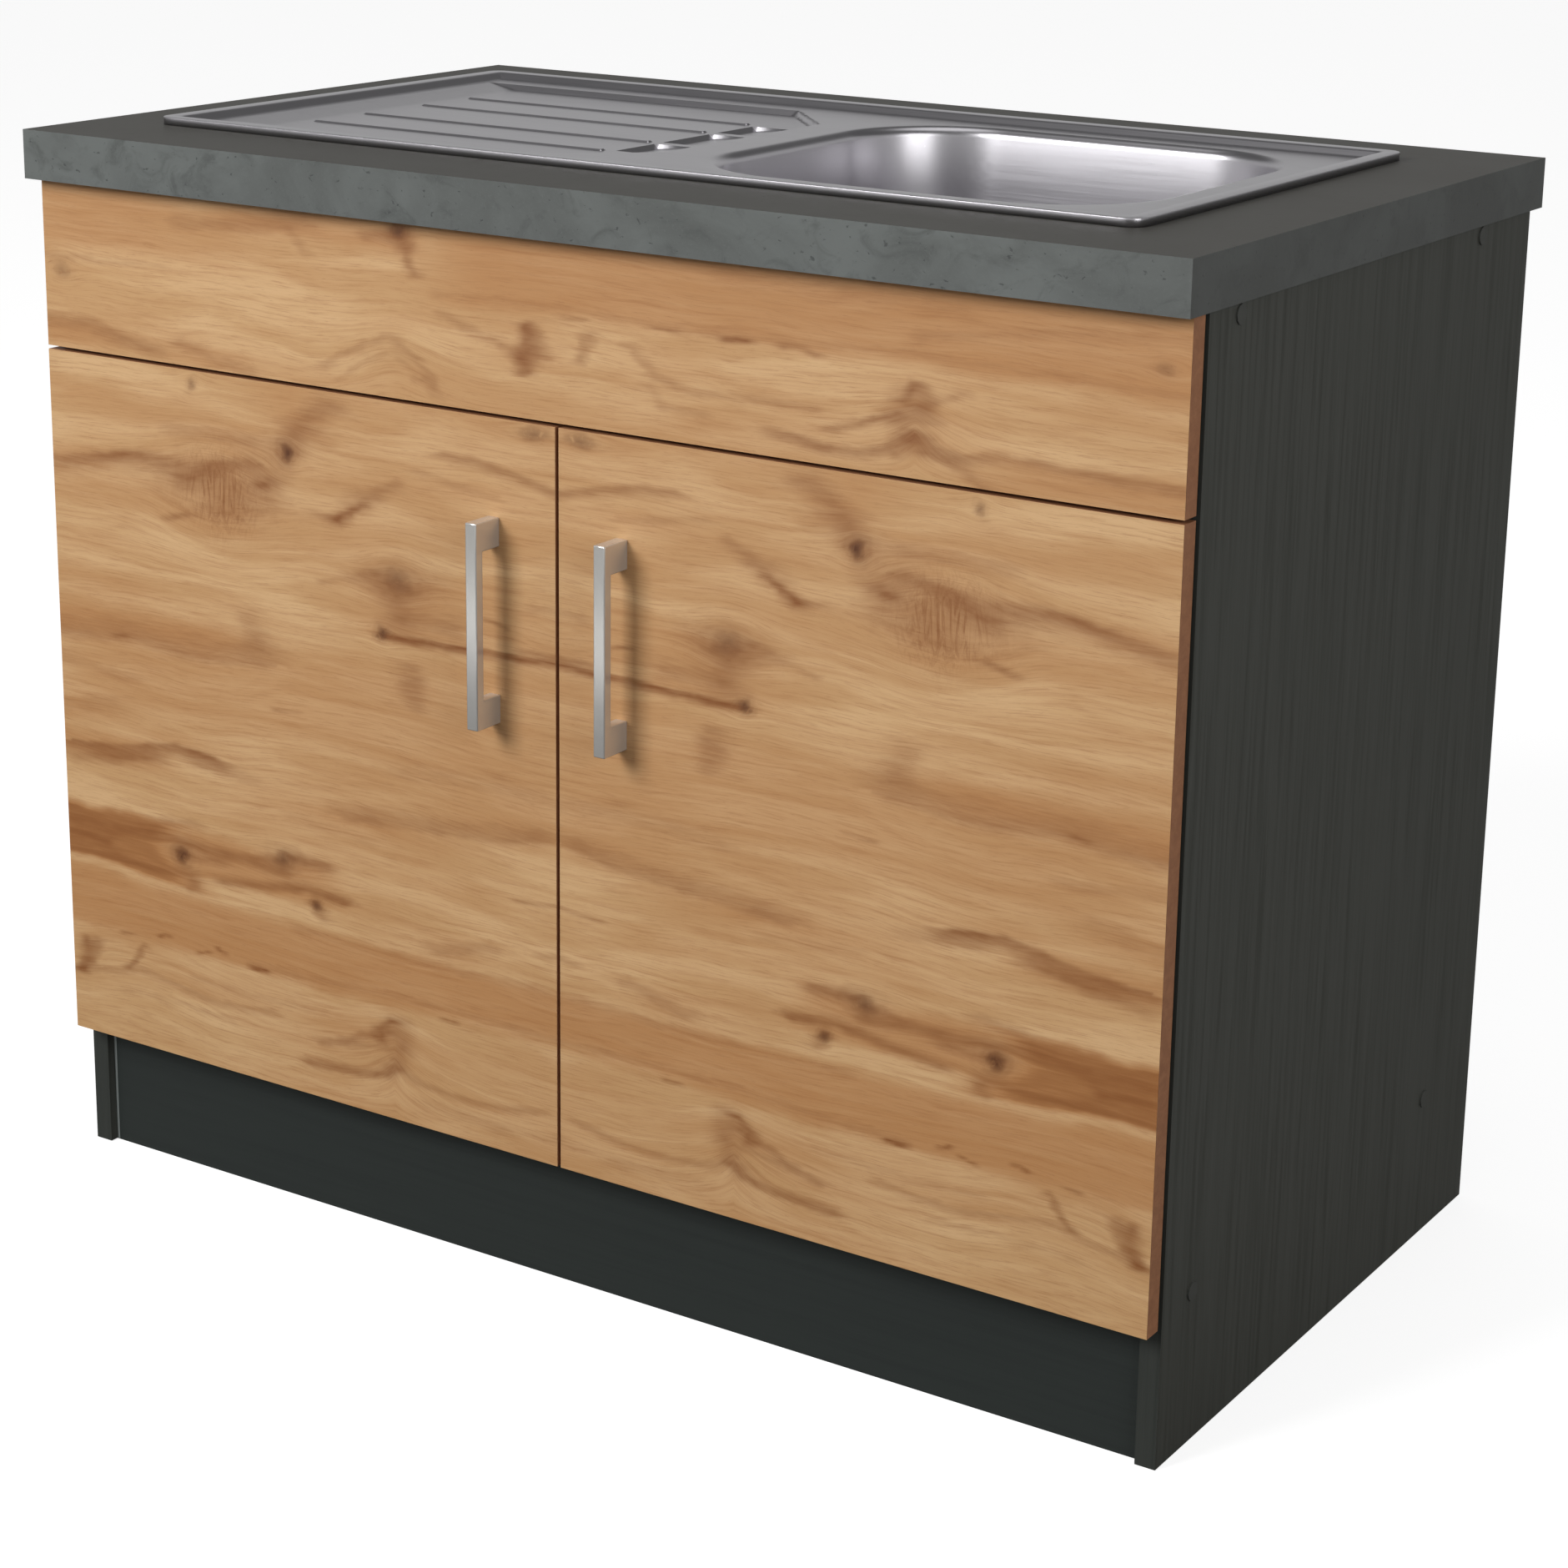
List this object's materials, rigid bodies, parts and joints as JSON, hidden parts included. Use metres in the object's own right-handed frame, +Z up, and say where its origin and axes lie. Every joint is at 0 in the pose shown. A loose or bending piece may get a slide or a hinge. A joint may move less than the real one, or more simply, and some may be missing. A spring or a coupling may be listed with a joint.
{
  "type": "kitchen sink base unit",
  "caption": "Freestanding sink base unit: two oak-look doors with bar handles, false front, dark sides, plinth and worktop, inset steel sink with drainer",
  "frame": {"origin": "on the floor, under the middle of the unit's box, which runs from the handles' fronts to the worktop's rear edge", "axes": "+X along the worktop to the right as seen from the front, +Y from the doors to the wall, +Z up"},
  "size_m": [1, 0.614, 0.856],
  "materials": {
    "worktop": "dark slate-look high-pressure laminate, satin",
    "side_panel_left": "dark anthracite melamine, matt",
    "side_panel_right": "dark anthracite melamine, matt",
    "bottom_panel": "dark anthracite melamine, matt",
    "back_panel": "lacquered thin fibreboard, matt",
    "front_rail": "dark anthracite melamine, matt",
    "rear_rail": "dark anthracite melamine, matt",
    "plinth_panel": "dark anthracite melamine, matt",
    "plinth_brackets": "zinc or nickel plated steel",
    "plinth_bracket_screws": "zinc or nickel plated steel",
    "false_front": "oak-look melamine with brown edge band, matt",
    "false_front_brackets": "zinc or nickel plated steel",
    "false_front_bracket_screws": "zinc or nickel plated steel",
    "frame_screws_left": "zinc or nickel plated steel",
    "frame_screws_right": "zinc or nickel plated steel",
    "dowels_left": "beech",
    "dowels_right": "beech",
    "screw_caps_left": "dark moulded plastic",
    "screw_caps_right": "dark moulded plastic",
    "worktop_screws": "zinc or nickel plated steel",
    "hinge_arms_left": "zinc or nickel plated steel",
    "hinge_arms_right": "zinc or nickel plated steel",
    "hinge_plates_left": "zinc or nickel plated steel",
    "hinge_plates_right": "zinc or nickel plated steel",
    "hinge_screws_left": "zinc or nickel plated steel",
    "hinge_screws_right": "zinc or nickel plated steel",
    "sink_top": "satin stainless steel",
    "sink_seal": "black foam or rubber",
    "sink_clips": "zinc or nickel plated steel",
    "sink_clip_screws": "zinc or nickel plated steel",
    "strainer_cup": "polished stainless steel",
    "strainer_seal": "black foam or rubber",
    "waste_body": "white polypropylene",
    "waste_screw": "polished stainless steel",
    "strainer_basket": "polished stainless steel",
    "door_left": "oak-look melamine with brown edge band, matt",
    "handle_left": "satin chrome",
    "handle_screws_left": "zinc or nickel plated steel",
    "door_bumpers_left": "clear soft plastic",
    "hinge_cups_left": "zinc or nickel plated steel",
    "hinge_cup_screws_left": "zinc or nickel plated steel",
    "hinge_links_long_left": "zinc or nickel plated steel",
    "hinge_links_short_left": "zinc or nickel plated steel",
    "door_right": "oak-look melamine with brown edge band, matt",
    "handle_right": "satin chrome",
    "handle_screws_right": "zinc or nickel plated steel",
    "door_bumpers_right": "clear soft plastic",
    "hinge_cups_right": "zinc or nickel plated steel",
    "hinge_cup_screws_right": "zinc or nickel plated steel",
    "hinge_links_long_right": "zinc or nickel plated steel",
    "hinge_links_short_right": "zinc or nickel plated steel"
  },
  "bodies": {
    "cabinet": {"worktop": "worktop", "side_panel_left": "side_panel_left", "side_panel_right": "side_panel_right", "bottom_panel": "bottom_panel", "back_panel": "back_panel", "front_rail": "front_rail", "rear_rail": "rear_rail", "plinth_panel": "plinth_panel", "plinth_brackets": "plinth_brackets", "plinth_bracket_screws": "plinth_bracket_screws", "false_front": "false_front", "false_front_brackets": "false_front_brackets", "false_front_bracket_screws": "false_front_bracket_screws", "frame_screws_left": "frame_screws_left", "frame_screws_right": "frame_screws_right", "dowels_left": "dowels_left", "dowels_right": "dowels_right", "screw_caps_left": "screw_caps_left", "screw_caps_right": "screw_caps_right", "worktop_screws": "worktop_screws", "hinge_arms_left": "hinge_arms_left", "hinge_arms_right": "hinge_arms_right", "hinge_plates_left": "hinge_plates_left", "hinge_plates_right": "hinge_plates_right", "hinge_screws_left": "hinge_screws_left", "hinge_screws_right": "hinge_screws_right", "sink_top": "sink_top", "sink_seal": "sink_seal", "sink_clips": "sink_clips", "sink_clip_screws": "sink_clip_screws", "strainer_cup": "strainer_cup", "strainer_seal": "strainer_seal", "waste_body": "waste_body", "waste_screw": "waste_screw"},
    "basket": {"strainer_basket": "strainer_basket"},
    "door_left": {"door_left": "door_left", "handle_left": "handle_left", "handle_screws_left": "handle_screws_left", "door_bumpers_left": "door_bumpers_left", "hinge_cups_left": "hinge_cups_left", "hinge_cup_screws_left": "hinge_cup_screws_left"},
    "long_links_left": {"hinge_links_long_left": "hinge_links_long_left"},
    "short_links_left": {"hinge_links_short_left": "hinge_links_short_left"},
    "door_right": {"door_right": "door_right", "handle_right": "handle_right", "handle_screws_right": "handle_screws_right", "door_bumpers_right": "door_bumpers_right", "hinge_cups_right": "hinge_cups_right", "hinge_cup_screws_right": "hinge_cup_screws_right"},
    "long_links_right": {"hinge_links_long_right": "hinge_links_long_right"},
    "short_links_right": {"hinge_links_short_right": "hinge_links_short_right"}
  },
  "joints": [
    {"name": "door_left_on_links", "type": "hinge", "parent": "long_links_left", "child": "door_left", "pos_m": [-0.48294, -0.26664, 0.392], "axis": [0, 0, -1], "range_deg": [0, 125.14]},
    {"name": "long_links_left_on_arms", "type": "hinge", "parent": "cabinet", "child": "long_links_left", "pos_m": [-0.4555, -0.251, 0.392], "axis": [0, 0, -1], "range_deg": [-30.24, 0.1]},
    {"name": "short_links_left_on_arms", "type": "hinge", "parent": "cabinet", "child": "short_links_left", "pos_m": [-0.4775, -0.27187, 0.392], "axis": [0, 0, -1], "range_deg": [-109.62, 0.2]},
    {"name": "door_right_on_links", "type": "hinge", "parent": "long_links_right", "child": "door_right", "pos_m": [0.48294, -0.26664, 0.392], "axis": [0, 0, 1], "range_deg": [0, 125.14]},
    {"name": "long_links_right_on_arms", "type": "hinge", "parent": "cabinet", "child": "long_links_right", "pos_m": [0.4555, -0.251, 0.392], "axis": [0, 0, 1], "range_deg": [-30.24, 0.1]},
    {"name": "short_links_right_on_arms", "type": "hinge", "parent": "cabinet", "child": "short_links_right", "pos_m": [0.4775, -0.27187, 0.392], "axis": [0, 0, 1], "range_deg": [-109.62, 0.2]},
    {"name": "basket_lift", "type": "slide", "parent": "cabinet", "child": "basket", "axis": [0, 0, 1], "range_m": [0, 0.06]}
  ],
  "couplings": [
    {"joint": "long_links_left_on_arms", "follows": "door_left_on_links", "ratio": -0.24087},
    {"joint": "short_links_left_on_arms", "follows": "door_left_on_links", "ratio": -0.87436},
    {"joint": "long_links_right_on_arms", "follows": "door_right_on_links", "ratio": -0.24087},
    {"joint": "short_links_right_on_arms", "follows": "door_right_on_links", "ratio": -0.87436}
  ]
}
